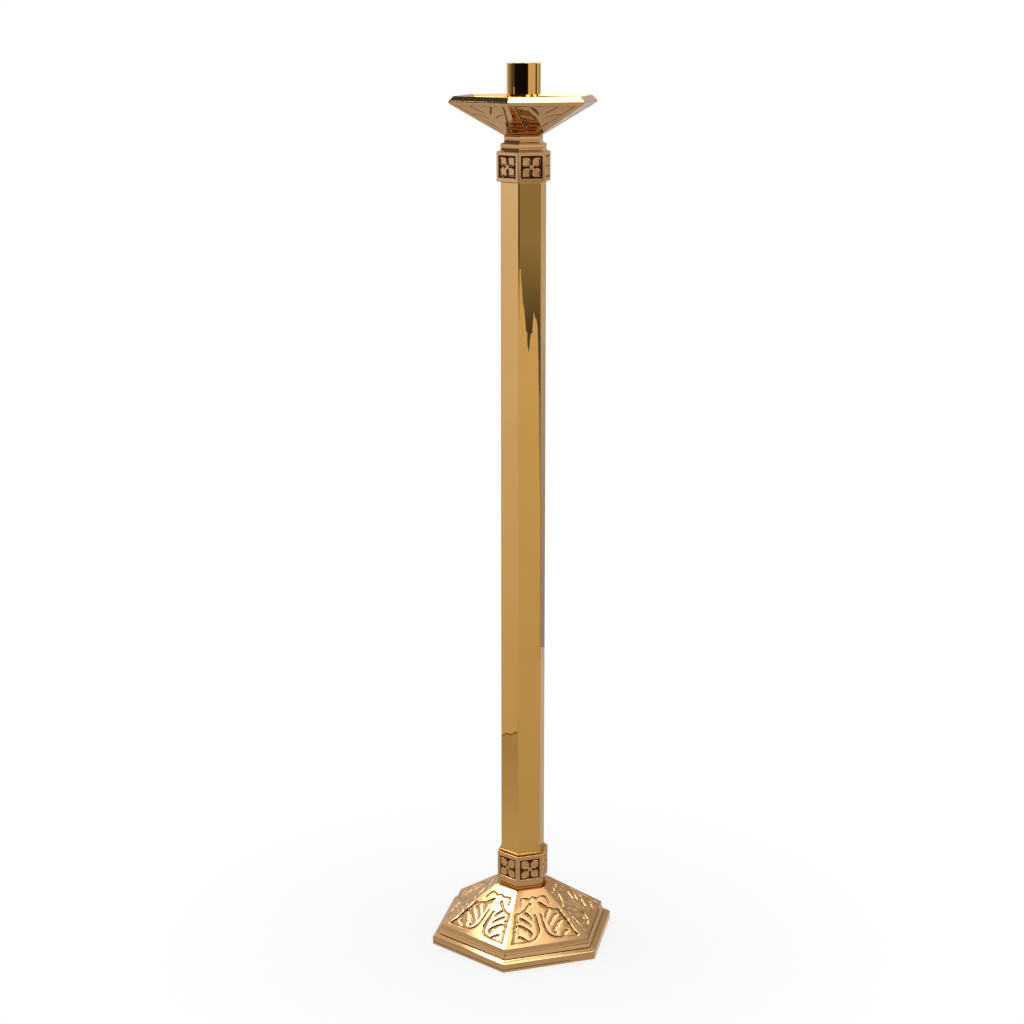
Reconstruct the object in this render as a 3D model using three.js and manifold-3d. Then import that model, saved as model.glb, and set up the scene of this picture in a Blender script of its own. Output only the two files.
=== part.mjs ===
// A floor candlestick of polished brass, hexagonal in plan.
// A steel tie rod runs from a nut under the ballast to the plug in the candle socket
// and clamps the base, the rings, the collars, the tube and the drip pan together.
import * as THREE from 'three';
import { mergeVertices } from 'three/addons/utils/BufferGeometryUtils.js';
import Module from 'manifold-3d';

// Driving dimensions in millimetres. Widths of hexagonal pieces are across the flats.

// Base casting
const plinthFlats = 213;
const plinthHeight = 9.8;
const ovoloWidth = 5.4;
const ovoloHeight = 3.8;
const grooveWidth = 1.9;
const grooveDepth = 0.9;
const skirtFlats = 192;
const skirtHeight = 25;
const coveHollow = 1.1;
const baseTopFlats = 64;
const baseHeight = 71.4;
const castWall = 5;
const baseTopWall = 8;
const rimWall = 5;
const ledgeWidth = 10;
const bossFlats = 34;

// Carving: depths, and grooves drawn on the right half of a face and mirrored on the left.
// Each point is [share of the face's wider half width, share of its slope, groove width in mm].
const baseCarvingDepth = 1.2;
const baseGrooves = [
  // side of the panel
  [[0.49, 0.585, 2.2], [0.77, 0.085, 1.6]],
  // foot of the panel, which turns up round the leaf and along the stem
  [[0.78, 0.082, 1.4], [0.43, 0.082, 1.6], [0.26, 0.09, 2], [0.15, 0.129, 2.2], [0.08, 0.21, 2.2],
    [0.067, 0.32, 2.2], [0.067, 0.52, 1.8]],
  // lowest tip of the leaf
  [[0.58, 0.177, 2.4], [0.515, 0.152, 2.2], [0.435, 0.1, 1.4]],
  // upper edge of the leaf
  [[0.49, 0.582, 2.2], [0.39, 0.604, 2.4], [0.3, 0.62, 2.6], [0.2, 0.67, 3.2], [0.1, 0.727, 3.2]],
  // veins from the top down, the last one with a curl
  [[0.314, 0.61, 2.6], [0.231, 0.549, 2], [0.166, 0.468, 0.8]],
  [[0.437, 0.493, 2.6], [0.334, 0.449, 2], [0.22, 0.348, 0.8]],
  [[0.56, 0.384, 1.4], [0.451, 0.354, 2.2], [0.339, 0.283, 2.2], [0.27, 0.21, 2], [0.28, 0.175, 1.6],
    [0.24, 0.165, 1.4]],
  // scalloped bracket over the two leaves
  [[0.343, 0.733, 1.8], [0.282, 0.838, 2.2], [0.2, 0.85, 1.6], [0.12, 0.832, 1.8], [0, 0.85, 1.4]],
];
const panCarvingDepth = 0.8;
const panGrooves = [
  // side of the panel
  [[0.81, 0.965, 1.6], [0.14, 0.17, 1.4]],
  // scalloped edge under the rim
  [[0.82, 0.968, 1.6], [0.7, 0.95, 1.6], [0.58, 0.968, 1.6], [0.4, 0.95, 1.6], [0.2, 0.968, 1.6], [0, 0.95, 1.6]],
  // veins from the rim down
  [[0.37, 0.95, 1.4], [0.27, 0.865, 2.4], [0.15, 0.78, 2], [0.075, 0.7, 0.8]],
  [[0.56, 0.692, 1.6], [0.39, 0.68, 2.2], [0.25, 0.635, 2], [0.137, 0.57, 0.8]],
  [[0.3, 0.44, 1.4], [0.25, 0.36, 1.8], [0.16, 0.27, 0.8]],
];

// Underside of the base
const feltThickness = 1.5;
const coverThickness = 2.5;
const coverScrewDiameter = 4;
const coverScrewHeadDiameter = 7.6;
const coverScrewLength = 10;
const weightSeatThickness = 9;
const weightClearance = 9;
const weightSideGap = 3;

// Tie rod and its fastening
const rodDiameter = 10;
const rodEndSpare = 2.5;
const rodChamfer = 0.8;
const nutFlats = 17;
const nutHeight = 8;
const washerDiameter = 26;
const washerThickness = 2;
const lockWasherDiameter = 18;
const lockWasherThickness = 2.2;
const lockWasherGap = 1.4;
const pocketMargin = 1;

// Rings between the base and the lower collar
const footRingWideFlats = 54.6;
const footRingWideHeight = 2.8;
const footRingNarrowFlats = 52;
const footRingNarrowHeight = 3.2;
const footRingRound = 0.6;

// Collars: the same flower panels on a longer block below and a shorter one above
const collarFlats = 59.6;
const lowerCollarHeight = 39.8;
const lowerPanelMiddle = 21;
const upperCollarHeight = 36;
const upperPanelMiddle = 18;
const collarEdgeRound = 0.9;
const collarPanelSize = 26.6;
const collarPanelDepth = 1.3;
const petalSize = 10.4;
const petalRound = 4.2;
const petalGap = 2;
const flowerMiddle = 5.6;

// Bead ring and shaft tube
const beadRingFlats = 52.8;
const beadRingHeight = 3;
const beadRingRound = 1.2;
const shaftFlats = 50.8;
const shaftLength = 858.4;
const shaftWall = 1.6;
const shaftPlugHeight = 14;

// Rings under the drip pan
const neckRingWideFlats = 51;
const neckRingWideHeight = 9.4;
const neckRingNarrowFlats = 43;
const neckRingNarrowHeight = 8.8;
const neckRingRound = 2;

// Drip pan
const panFootMargin = 0.8;
const panUnderFlats = 159.2;
const panUnderHeight = 37.4;
const panFlats = 163.2;
const panLipHeight = 1.8;
const panEdgeHeight = 2;
const panBevelWidth = 5.7;
const panBevelHeight = 6;
const panRimWidth = 2.5;
const panInnerBevelWidth = 3;
const panInnerBevelHeight = 3.7;
const panRimWall = 12;
const panWall = 3.2;
const panFloor = 6;

// Candle socket
const socketDiameter = 40.8;
const socketWall = 1.2;
const socketDepth = 50;
const socketPlugHeight = 28.2;
const candleSeatThickness = 10.2;
const gasketThickness = 1;

// Fits
const rodClearance = 0.5;
const threadClearance = 0.2;
const slidingFit = 0.3;

// Facets of round pieces
const roundSides = 48;
const smallSides = 24;
const screwSides = 12;
const arcSteps = 3;

const wasm = await Module();
wasm.setup();

const hexSides = 6;
const faces = Array.from({ length: hexSides }, (_, k) => k);
const cornerFactor = 1 / Math.cos(Math.PI / hexSides);
const boreRadius = rodDiameter / 2 + rodClearance;

/** Turns a profile of [distance, height] pairs about +Z. */
function turned(profile, sides) {
  const points = profile.map(([distance, height]) => new THREE.Vector2(distance, height));
  return new THREE.LatheGeometry(points, sides).rotateX(Math.PI / 2);
}

/** Hexagonal solid with a corner towards -Y; distances are from the axis to the flats. */
function hexagonal(profile) {
  return turned(profile.map(([distance, height]) => [distance * cornerFactor, height]), hexSides);
}

/** Cylinder about +Z between two heights. */
function cylinder(radius, from, to, sides = smallSides) {
  return turned([[0, from], [radius, from], [radius, to], [0, to]], sides);
}

/** Closed mesh as a solid for joining and cutting; triangles that collapse on the axis are dropped. */
function toSolid(geometry) {
  const plain = geometry.clone();
  plain.deleteAttribute('normal');
  plain.deleteAttribute('uv');
  const merged = mergeVertices(plain, 1e-4);
  const kept = [];
  for (let i = 0; i < merged.index.count; i += 3) {
    const corners = [0, 1, 2].map((k) => merged.index.getX(i + k));
    if (new Set(corners).size === 3) kept.push(...corners);
  }
  const vertProperties = new Float32Array(merged.attributes.position.array);
  return new wasm.Manifold(new wasm.Mesh({ numProp: 3, vertProperties, triVerts: new Uint32Array(kept) }));
}

/** A joined or cut solid as geometry again. */
function toGeometry(solid) {
  const { vertProperties, triVerts } = solid.getMesh();
  const geometry = new THREE.BufferGeometry();
  geometry.setAttribute('position', new THREE.BufferAttribute(vertProperties, 3));
  geometry.setIndex(new THREE.BufferAttribute(triVerts, 1));
  geometry.computeVertexNormals();
  return geometry;
}

/** One geometry with others cut from it and added to it, in that order. */
function worked(geometry, cuts, additions = []) {
  let solid = toSolid(geometry);
  for (const cut of cuts) solid = solid.subtract(toSolid(cut));
  for (const addition of additions) solid = solid.add(toSolid(addition));
  return toGeometry(solid);
}

/** Rod bore right through a piece of a given height. */
function rodBore(height) {
  const overshoot = 1;
  return cylinder(boreRadius, -overshoot, height + overshoot);
}

/** Points of a quarter arc in a profile, from one angle to another about a centre. */
function arc(centre, radii, fromDegrees, toDegrees) {
  return Array.from({ length: arcSteps + 1 }, (_, i) => {
    const angle = THREE.MathUtils.degToRad(fromDegrees + ((toDegrees - fromDegrees) * i) / arcSteps);
    return [centre[0] + radii[0] * Math.cos(angle), centre[1] + radii[1] * Math.sin(angle)];
  });
}

/** Hexagonal block with a rod bore and rounded upper and lower edges. */
function hexagonalBlock(flats, height, upperRound, lowerRound) {
  const half = flats / 2;
  const profile = [
    [0, 0],
    ...arc([half - lowerRound, lowerRound], [lowerRound, lowerRound], -90, 0),
    ...arc([half - upperRound, height - upperRound], [upperRound, upperRound], 0, 90),
    [0, height],
  ];
  return worked(hexagonal(profile), [rodBore(height)]);
}

/** Matrix that lays a drawing (x across, y up, z out) on hexagon face k, at a point and lean of that face. */
function onFace(k, distance, height, lean) {
  const angle = (Math.PI / 3) * k;
  const across = new THREE.Vector3(-Math.sin(angle), Math.cos(angle), 0);
  const outward = new THREE.Vector3(Math.cos(angle), Math.sin(angle), 0);
  const up = new THREE.Vector3(0, 0, 1).multiplyScalar(Math.cos(lean)).addScaledVector(outward, -Math.sin(lean));
  const out = new THREE.Vector3().crossVectors(across, up);
  const place = outward.multiplyScalar(distance).setZ(height);
  return new THREE.Matrix4().makeBasis(across, up, out).setPosition(place);
}

/** Flat shape as a plate from one depth to another along its own z. */
function plate(shape, from, to) {
  const options = { depth: to - from, bevelEnabled: false, curveSegments: arcSteps };
  return new THREE.ExtrudeGeometry(shape, options).translate(0, 0, from);
}

/** Outline of a groove of changing width along its middle line. */
function grooveShape(points) {
  const middle = points.map(([x, y]) => new THREE.Vector2(x, y));
  const sides = [1, -1].map((side) => middle.map((point, i) => {
    const before = middle[Math.max(i - 1, 0)];
    const after = middle[Math.min(i + 1, middle.length - 1)];
    const along = after.clone().sub(before).normalize();
    const halfWidth = points[i][2] / 2;
    return new THREE.Vector2(point.x - side * along.y * halfWidth, point.y + side * along.x * halfWidth);
  }));
  return new THREE.Shape([...sides[1], ...sides[0].reverse()]);
}

/** Cutters for the carving of a sloping face, drawn in shares of its wider half width and its slope. */
function carving(grooves, halfWidth, slope, depth, matrix) {
  const cutters = [];
  for (const groove of grooves) {
    for (const side of [1, -1]) {
      const points = groove.map(([across, up, width]) => [side * across * halfWidth, up * slope, width]);
      cutters.push(plate(grooveShape(points), -depth, depth).applyMatrix4(matrix));
    }
  }
  return cutters;
}

// Heights above the floor, stacked from the pieces' own heights
const coverFloor = feltThickness;
const ledgeHeight = coverFloor + coverThickness;
const weightFloor = ledgeHeight + weightClearance;
const rodFloor = weightFloor + pocketMargin;
const nutFloor = rodFloor + rodEndSpare;
const lockWasherFloor = nutFloor + nutHeight;
const washerFloor = lockWasherFloor + lockWasherThickness;
const weightTop = washerFloor + washerThickness + weightSeatThickness;
const footRingWideFloor = baseHeight;
const footRingNarrowFloor = footRingWideFloor + footRingWideHeight;
const lowerCollarFloor = footRingNarrowFloor + footRingNarrowHeight;
const beadRingFloor = lowerCollarFloor + lowerCollarHeight;
const shaftFloor = beadRingFloor + beadRingHeight;
const upperCollarFloor = shaftFloor + shaftLength;
const neckRingWideFloor = upperCollarFloor + upperCollarHeight;
const neckRingNarrowFloor = neckRingWideFloor + neckRingWideHeight;
const panBase = neckRingNarrowFloor + neckRingNarrowHeight;
const gasketFloor = panBase + panFloor;
const socketFloor = gasketFloor + gasketThickness;
const rodTop = socketFloor + socketPlugHeight - candleSeatThickness;

// Inside of the base: a ledge for the cover, then a slope that follows the carved faces
const baseRun = (skirtFlats - baseTopFlats) / 2;
const baseRise = baseHeight - skirtHeight;
const baseSlope = Math.hypot(baseRun, baseRise);
const baseLean = Math.atan2(baseRun, baseRise);
const rebateHalf = plinthFlats / 2 - rimWall;
const hollowHalf = rebateHalf - ledgeWidth;
const slopeWallHeight = (castWall * baseSlope) / baseRun;

/** Distance from the axis to the flats of the base's inner slope at a height. */
function hollowHalfAt(height) {
  const onSlope = skirtFlats / 2 - ((height + slopeWallHeight - skirtHeight) * baseRun) / baseRise;
  return Math.min(hollowHalf, onSlope);
}

/** Height at which the inner slope starts above the hollow's upright wall. */
function hollowShoulder() {
  return skirtHeight - slopeWallHeight + ((skirtFlats / 2 - hollowHalf) * baseRise) / baseRun;
}

/** Concave band between the groove and the carved faces. */
function cove(from, to) {
  const middle = new THREE.Vector2((from[0] + to[0]) / 2 - 2 * coveHollow, (from[1] + to[1]) / 2);
  const curve = new THREE.QuadraticBezierCurve(new THREE.Vector2(...from), middle, new THREE.Vector2(...to));
  return curve.getPoints(arcSteps).map((point) => [point.x, point.y]);
}

/** Outer side of the base from the floor to its top. */
function baseOuterProfile() {
  const plinth = plinthFlats / 2;
  const ovoloTop = plinthHeight + ovoloHeight;
  const grooveOuter = plinth - ovoloWidth;
  const grooveInner = grooveOuter - grooveWidth;
  const grooveSlant = grooveWidth / 4;
  return [
    [plinth, 0],
    ...arc([grooveOuter, plinthHeight], [ovoloWidth, ovoloHeight], 0, 90),
    [grooveOuter - grooveSlant, ovoloTop - grooveDepth],
    [grooveInner + grooveSlant, ovoloTop - grooveDepth],
    ...cove([grooveInner, ovoloTop], [skirtFlats / 2, skirtHeight]),
    [baseTopFlats / 2, baseHeight],
    [0, baseHeight],
  ];
}

/** Inner side of the base from the boss that meets the ballast down to the floor. */
function baseInnerProfile() {
  const roof = baseHeight - baseTopWall;
  return [
    [0, weightTop],
    [bossFlats / 2, weightTop],
    [bossFlats / 2, roof],
    [hollowHalfAt(roof), roof],
    [hollowHalf, hollowShoulder()],
    [hollowHalf, ledgeHeight],
    [rebateHalf, ledgeHeight],
    [rebateHalf, 0],
  ];
}

/** One copy of a piece at each cover screw, at the middle of each flat. */
function atEachScrew(make) {
  return faces.map((k) => {
    const matrix = new THREE.Matrix4().makeRotationZ((Math.PI / 3) * k);
    return make().translate(rebateHalf - ledgeWidth / 2, 0, 0).applyMatrix4(matrix);
  });
}

/** Countersunk screw standing on its head, or the hole that clears it by a gap. */
function coverScrew(gap) {
  const head = coverScrewHeadDiameter / 2 + gap;
  const shank = coverScrewDiameter / 2 + gap;
  const headHeight = head - shank;
  const tip = coverScrewLength + gap;
  return turned([[0, -gap], [head, -gap], [head, 0], [shank, headHeight], [shank, tip], [0, tip]], screwSides);
}

/** Cast base: plinth, ovolo, groove, cove and six carved faces over a hollow underside. */
function base() {
  const body = hexagonal([...baseInnerProfile(), ...baseOuterProfile()]);
  const screwHoles = atEachScrew(() => coverScrew(threadClearance).translate(0, 0, coverFloor));
  const halfWidth = (skirtFlats / 2) * Math.tan(Math.PI / hexSides);
  const carved = faces.flatMap((k) => {
    const matrix = onFace(k, skirtFlats / 2, skirtHeight, baseLean);
    return carving(baseGrooves, halfWidth, baseSlope, baseCarvingDepth, matrix);
  });
  return worked(body, [rodBore(baseHeight), ...screwHoles, ...carved]);
}

/** Ballast slab that follows the inner slope of the base, with a pocket for the nut below. */
function baseWeight() {
  const profile = [
    [0, 0],
    [hollowHalf - weightSideGap, 0],
    [hollowHalfAt(hollowShoulder()) - weightSideGap, hollowShoulder() - weightFloor],
    [hollowHalfAt(weightTop) - weightSideGap, weightTop - weightFloor],
    [0, weightTop - weightFloor],
  ];
  const overshoot = 1;
  const pocketTop = washerFloor + washerThickness - weightFloor;
  const pocket = cylinder(washerDiameter / 2 + pocketMargin, -overshoot, pocketTop, roundSides);
  return worked(hexagonal(profile), [rodBore(weightTop - weightFloor), pocket]);
}

/** Flat hexagonal sheet that fits in the rebate under the base. */
function undersideSheet(thickness) {
  const half = rebateHalf - slidingFit;
  return hexagonal([[0, 0], [half, 0], [half, thickness], [0, thickness]]);
}

/** Steel cover with six countersunk holes. */
function bottomCover() {
  return worked(undersideSheet(coverThickness), atEachScrew(() => coverScrew(threadClearance)));
}

/** Rod with chamfered ends. */
function tieRod() {
  const radius = rodDiameter / 2;
  const length = rodTop - rodFloor;
  const end = radius - rodChamfer;
  return turned([[0, 0], [end, 0], [radius, rodChamfer], [radius, length - rodChamfer], [end, length], [0, length]],
    smallSides);
}

/** Hexagonal nut on the rod's thread. */
function rodNut() {
  const body = hexagonal([[0, 0], [nutFlats / 2, 0], [nutFlats / 2, nutHeight], [0, nutHeight]]);
  return worked(body, [cylinder(rodDiameter / 2 + threadClearance, -1, nutHeight + 1)]);
}

/** Flat ring with a rod bore. */
function flatWasher(diameter, thickness) {
  const radius = diameter / 2;
  const profile = [[boreRadius, 0], [radius, 0], [radius, thickness], [boreRadius, thickness], [boreRadius, 0]];
  return turned(profile, smallSides);
}

/** Spring washer, cut through at one side. */
function lockWasher() {
  const ring = flatWasher(lockWasherDiameter, lockWasherThickness);
  const cut = new THREE.BoxGeometry(lockWasherDiameter, lockWasherGap, 2 * lockWasherThickness + 1);
  return worked(ring, [cut.translate(lockWasherDiameter / 2, 0, lockWasherThickness / 2)]);
}

/** Petal with sharp corners towards the flower's middle and the panel's corner, round on the other two. */
function petalShape() {
  const near = petalGap / 2;
  const far = near + petalSize;
  const shape = new THREE.Shape();
  shape.moveTo(near, near);
  shape.lineTo(far - petalRound, near);
  shape.absarc(far - petalRound, near + petalRound, petalRound, -Math.PI / 2, 0, false);
  shape.lineTo(far, far);
  shape.lineTo(near + petalRound, far);
  shape.absarc(near + petalRound, far - petalRound, petalRound, Math.PI / 2, Math.PI, false);
  return shape;
}

/** Collar block with a four-petal flower in a square panel on every face. */
function collar(height, panelMiddle) {
  const block = hexagonalBlock(collarFlats, height, collarEdgeRound, collarEdgeRound);
  const recesses = [];
  const petals = [];
  const root = collarPanelDepth / 2;
  for (const k of faces) {
    const place = onFace(k, collarFlats / 2, panelMiddle, 0);
    const recess = new THREE.BoxGeometry(collarPanelSize, collarPanelSize, 2 * collarPanelDepth);
    recesses.push(recess.applyMatrix4(place));
    const middle = new THREE.BoxGeometry(flowerMiddle, flowerMiddle, collarPanelDepth + root);
    petals.push(middle.translate(0, 0, -(collarPanelDepth + root) / 2).applyMatrix4(place));
    for (const quarter of [0, 1, 2, 3]) {
      const petal = plate(petalShape(), -collarPanelDepth - root, 0).rotateZ((Math.PI / 2) * quarter);
      petals.push(petal.applyMatrix4(place));
    }
  }
  return worked(block, recesses, petals);
}

/** Hexagonal tube. */
function shaft() {
  const outer = shaftFlats / 2;
  const inner = outer - shaftWall;
  return hexagonal([[inner, 0], [outer, 0], [outer, shaftLength], [inner, shaftLength], [inner, 0]]);
}

/** Disc that centres the rod in an end of the tube. */
function shaftPlug() {
  const half = shaftFlats / 2 - shaftWall - slidingFit;
  const body = hexagonal([[0, 0], [half, 0], [half, shaftPlugHeight], [0, shaftPlugHeight]]);
  return worked(body, [rodBore(shaftPlugHeight)]);
}

/** Drip pan: sloping carved underside, thin edge, bevelled rim and a dish inside. */
function dripPan() {
  const foot = socketDiameter / 2 + panFootMargin;
  const under = panUnderFlats / 2;
  const outer = panFlats / 2;
  const run = under - foot;
  const wallHeight = (panWall * Math.hypot(run, panUnderHeight)) / run;
  const lipTop = panUnderHeight + panLipHeight;
  const rimHeight = lipTop + panEdgeHeight + panBevelHeight;
  const rimOuter = outer - panBevelWidth;
  const rimInner = rimOuter - panRimWidth;
  const wallFoot = outer - panRimWall;
  const profile = [
    [0, 0],
    [foot, 0],
    [under, panUnderHeight],
    [outer, lipTop],
    [outer, lipTop + panEdgeHeight],
    [rimOuter, rimHeight],
    [rimInner, rimHeight],
    [rimInner - panInnerBevelWidth, rimHeight - panInnerBevelHeight],
    [wallFoot, wallHeight + ((wallFoot - foot) * panUnderHeight) / run],
    [foot + ((panFloor - wallHeight) * run) / panUnderHeight, panFloor],
    [0, panFloor],
  ];
  const slope = Math.hypot(run, panUnderHeight);
  const lean = Math.atan2(-run, panUnderHeight);
  const halfWidth = under * Math.tan(Math.PI / hexSides);
  const carved = faces.flatMap((k) => carving(panGrooves, halfWidth, slope, panCarvingDepth, onFace(k, foot, 0, lean)));
  return worked(hexagonal(profile), [rodBore(rimHeight), ...carved]);
}

/** Round tube that the candle stands in. */
function candleSocket() {
  const outer = socketDiameter / 2;
  const inner = outer - socketWall;
  const length = socketPlugHeight + socketDepth;
  return turned([[inner, 0], [outer, 0], [outer, length], [inner, length], [inner, 0]], roundSides);
}

/** Turned plug brazed into the socket's lower end, tapped from below for the rod. */
function socketPlug() {
  const radius = socketDiameter / 2 - socketWall - threadClearance;
  const body = cylinder(radius, 0, socketPlugHeight, roundSides);
  const tapped = cylinder(rodDiameter / 2 + threadClearance, -1, rodTop - socketFloor + slidingFit);
  return worked(body, [tapped]);
}

// Finishes
const finishes = {
  brass: { color: 0xc69552, roughness: 0.14, metalness: 1 },
  steel: { color: 0x9b9da0, roughness: 0.38, metalness: 1 },
  castIron: { color: 0x3c3a38, roughness: 0.8, metalness: 0.6 },
  felt: { color: 0x2f4a37, roughness: 0.97, metalness: 0 },
  fibre: { color: 0x6f4a33, roughness: 0.85, metalness: 0 },
};

const candlestick = new THREE.Group();

/** Adds one named piece, standing at its height on the axis. */
function place(name, geometry, finish, height) {
  const mesh = new THREE.Mesh(geometry, new THREE.MeshStandardMaterial(finishes[finish]));
  mesh.name = name;
  mesh.position.z = height;
  candlestick.add(mesh);
}

// Underside
place('felt_pad', undersideSheet(feltThickness), 'felt', 0);
place('bottom_cover', bottomCover(), 'steel', coverFloor);
atEachScrew(() => coverScrew(0)).forEach((screw, k) => place(`cover_screw_${k + 1}`, screw, 'steel', coverFloor));
place('base_weight', baseWeight(), 'castIron', weightFloor);
place('rod_nut', rodNut(), 'steel', nutFloor);
place('rod_lock_washer', lockWasher(), 'steel', lockWasherFloor);
place('rod_washer', flatWasher(washerDiameter, washerThickness), 'steel', washerFloor);

// Base and lower collar
place('base', base(), 'brass', 0);
place('foot_ring_wide', hexagonalBlock(footRingWideFlats, footRingWideHeight, footRingRound, footRingRound),
  'brass', footRingWideFloor);
place('foot_ring_narrow', hexagonalBlock(footRingNarrowFlats, footRingNarrowHeight, footRingRound, footRingRound),
  'brass', footRingNarrowFloor);
place('lower_collar', collar(lowerCollarHeight, lowerPanelMiddle), 'brass', lowerCollarFloor);
place('bead_ring', hexagonalBlock(beadRingFlats, beadRingHeight, beadRingRound, beadRingRound),
  'brass', beadRingFloor);

// Shaft and rod
place('shaft', shaft(), 'brass', shaftFloor);
place('shaft_lower_plug', shaftPlug(), 'brass', shaftFloor);
place('shaft_upper_plug', shaftPlug(), 'brass', upperCollarFloor - shaftPlugHeight);
place('tie_rod', tieRod(), 'steel', rodFloor);

// Upper collar, pan and socket
place('upper_collar', collar(upperCollarHeight, upperPanelMiddle), 'brass', upperCollarFloor);
place('neck_ring_wide', hexagonalBlock(neckRingWideFlats, neckRingWideHeight, neckRingRound, footRingRound),
  'brass', neckRingWideFloor);
place('neck_ring_narrow', hexagonalBlock(neckRingNarrowFlats, neckRingNarrowHeight, neckRingRound, footRingRound),
  'brass', neckRingNarrowFloor);
place('drip_pan', dripPan(), 'brass', panBase);
place('socket_gasket', flatWasher(socketDiameter, gasketThickness), 'fibre', gasketFloor);
place('candle_socket', candleSocket(), 'brass', socketFloor);
place('socket_plug', socketPlug(), 'brass', socketFloor);

export default candlestick;
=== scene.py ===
"""Floor candlestick of polished brass: carved pieces, finishes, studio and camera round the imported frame."""

import math

import bpy
import numpy as np
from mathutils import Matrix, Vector


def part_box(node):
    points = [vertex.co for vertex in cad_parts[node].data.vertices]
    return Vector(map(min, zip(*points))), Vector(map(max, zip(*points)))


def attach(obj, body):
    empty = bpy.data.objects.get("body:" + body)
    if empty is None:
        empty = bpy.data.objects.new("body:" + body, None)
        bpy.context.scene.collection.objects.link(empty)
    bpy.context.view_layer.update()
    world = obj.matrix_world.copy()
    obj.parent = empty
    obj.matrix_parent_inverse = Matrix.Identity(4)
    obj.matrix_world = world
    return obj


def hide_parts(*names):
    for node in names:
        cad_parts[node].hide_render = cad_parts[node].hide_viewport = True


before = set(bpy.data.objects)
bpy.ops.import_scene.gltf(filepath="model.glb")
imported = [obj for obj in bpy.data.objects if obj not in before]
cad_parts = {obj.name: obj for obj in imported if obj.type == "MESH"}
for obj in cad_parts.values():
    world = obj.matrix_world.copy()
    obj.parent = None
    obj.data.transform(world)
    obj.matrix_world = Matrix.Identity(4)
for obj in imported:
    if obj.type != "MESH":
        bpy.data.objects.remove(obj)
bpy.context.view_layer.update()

# Shapes are worked out in millimetres and turned into metres when a mesh is made
MM = 0.001
SIDES = 6
FACE_ANGLE = math.radians(60)
TAN_HALF = math.tan(FACE_ANGLE / 2)
FAR_AWAY = 1e9
TINY = 1e-9

# Fineness of the meshes: steps of each curve, and spacing of the carved grids
EDGE_STEPS = 3
TUBE_EDGE_STEPS = 8
SOFT_STEPS = 3
OVOLO_STEPS = 6
COVE_STEPS = 12
ROUND_STEPS = 6
LOWER_ROUND_STEPS = 4
COLLAR_ROUND_STEPS = 5
STROKE_STEPS = 4
MARGIN_STEPS = 3
ROUND_SEGMENTS = 160
BASE_SPACING = 0.68
PAN_SPACING = 0.62
COLLAR_SPACING = 0.4

# Strips between rings that are shorter than this are shaded smooth
CURVED_STRIP = 1.2
# Softened corners: the largest share of a stretch that one takes, and the depth, as a share of that
# reach, below which it is a point of a fine arc
SOFT_SHARE = 0.4
SOFT_DEPTH = 0.25
# Share of the half width that a ring's corners can take
ROUNDEST = 0.999
# Stretches longer than this many guards get points close to their ends
GUARDED_LENGTH = 3

# Base casting
OVOLO_WIDTH = 5.4
OVOLO_HEIGHT = 3.8
OVOLO_BULGE = 0.1
PLINTH_HEIGHT = 9.8
GROOVE_WIDTH = 1.9
GROOVE_DEPTH = 2
GROOVE_DRAFT = 0.15
COVE_FILLET = 0.5
SKIRT_FLATS = 192
SKIRT_HEIGHT = 25
COVE_HOLLOW = 1.3
MOULDING_SOFTNESS = 0.5
BASE_TOP_FLATS = 64
CAST_WALL = 5
TOP_WALL = 8
RIM_WALL = 5
LEDGE_WIDTH = 10
BOSS_FLATS = 34
CASTING_EDGE = 1.2

# Rings and collars; the flare of the neck rings starts at an angle in degrees
RING_EDGE = 0.4
RING_ROUND = 0.6
BEAD_ROUND = 1.2
NECK_ROUND = 1
NECK_BEVEL = 0.5
NECK_FLARE = 1.9
NECK_FLARE_HEIGHT = 4.2
NECK_FLARE_START = 255
COLLAR_EDGE = 0.7
COLLAR_ROUND = 0.9
LOWER_PANEL_MIDDLE = 21
UPPER_PANEL_MIDDLE = 18
PANEL_HALF = 13.3
PANEL_DEPTH = 1.3
PETAL_NEAR = 1.0
PETAL_FAR = 11.4
PETAL_ROUND = 3.8
PETAL_TIP = 0.7
PETAL_RIM = 0.9
PETAL_DISH = 0.55
PETAL_EDGE = 0.3
FLOWER_MIDDLE = 2.6
CHANNEL_END = 3.9
CHANNEL_END_RADIUS = 1.4
PANEL_EDGE_LOW = -0.2
PANEL_EDGE_HIGH = 0.35
PANEL_MARGIN = 0.8

# Drip pan
PAN_FOOT_MARGIN = 0.8
PAN_UNDER_FLATS = 159.2
PAN_UNDER_HEIGHT = 37.4
PAN_LIP_HEIGHT = 1.8
PAN_EDGE_HEIGHT = 2
PAN_BEVEL_WIDTH = 5.7
PAN_RIM_WIDTH = 2.5
PAN_INNER_BEVEL_WIDTH = 3.6
PAN_INNER_BEVEL_HEIGHT = 3
PAN_RIM_WALL = 12
PAN_WALL = 3.2
PAN_FLOOR = 6
PAN_EDGE = 0.5

# Candle socket and rod
SOCKET_WALL = 1.2
SOCKET_LIP = 0.5
ROD_BORE_RADIUS = 5.5

# Shaft tube: the guard is how far from an end the rings stand that keep its long edges straight
TUBE_WALL = 1.6
TUBE_EDGE = 2
TUBE_END = 0.3
TUBE_GUARD = 1.2

# Section of a carved stroke in shares of its half width, and the half width that is cut to full depth
STROKE_FLOOR = 0.3
STROKE_RIM = 1.25
FULL_STROKE = 0.9
# Softness of a leaf's edge, and how fast the leaf rises from the strokes to its crown
LEAF_EDGE = 0.8
CROWN_RISE = 1.7

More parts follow.
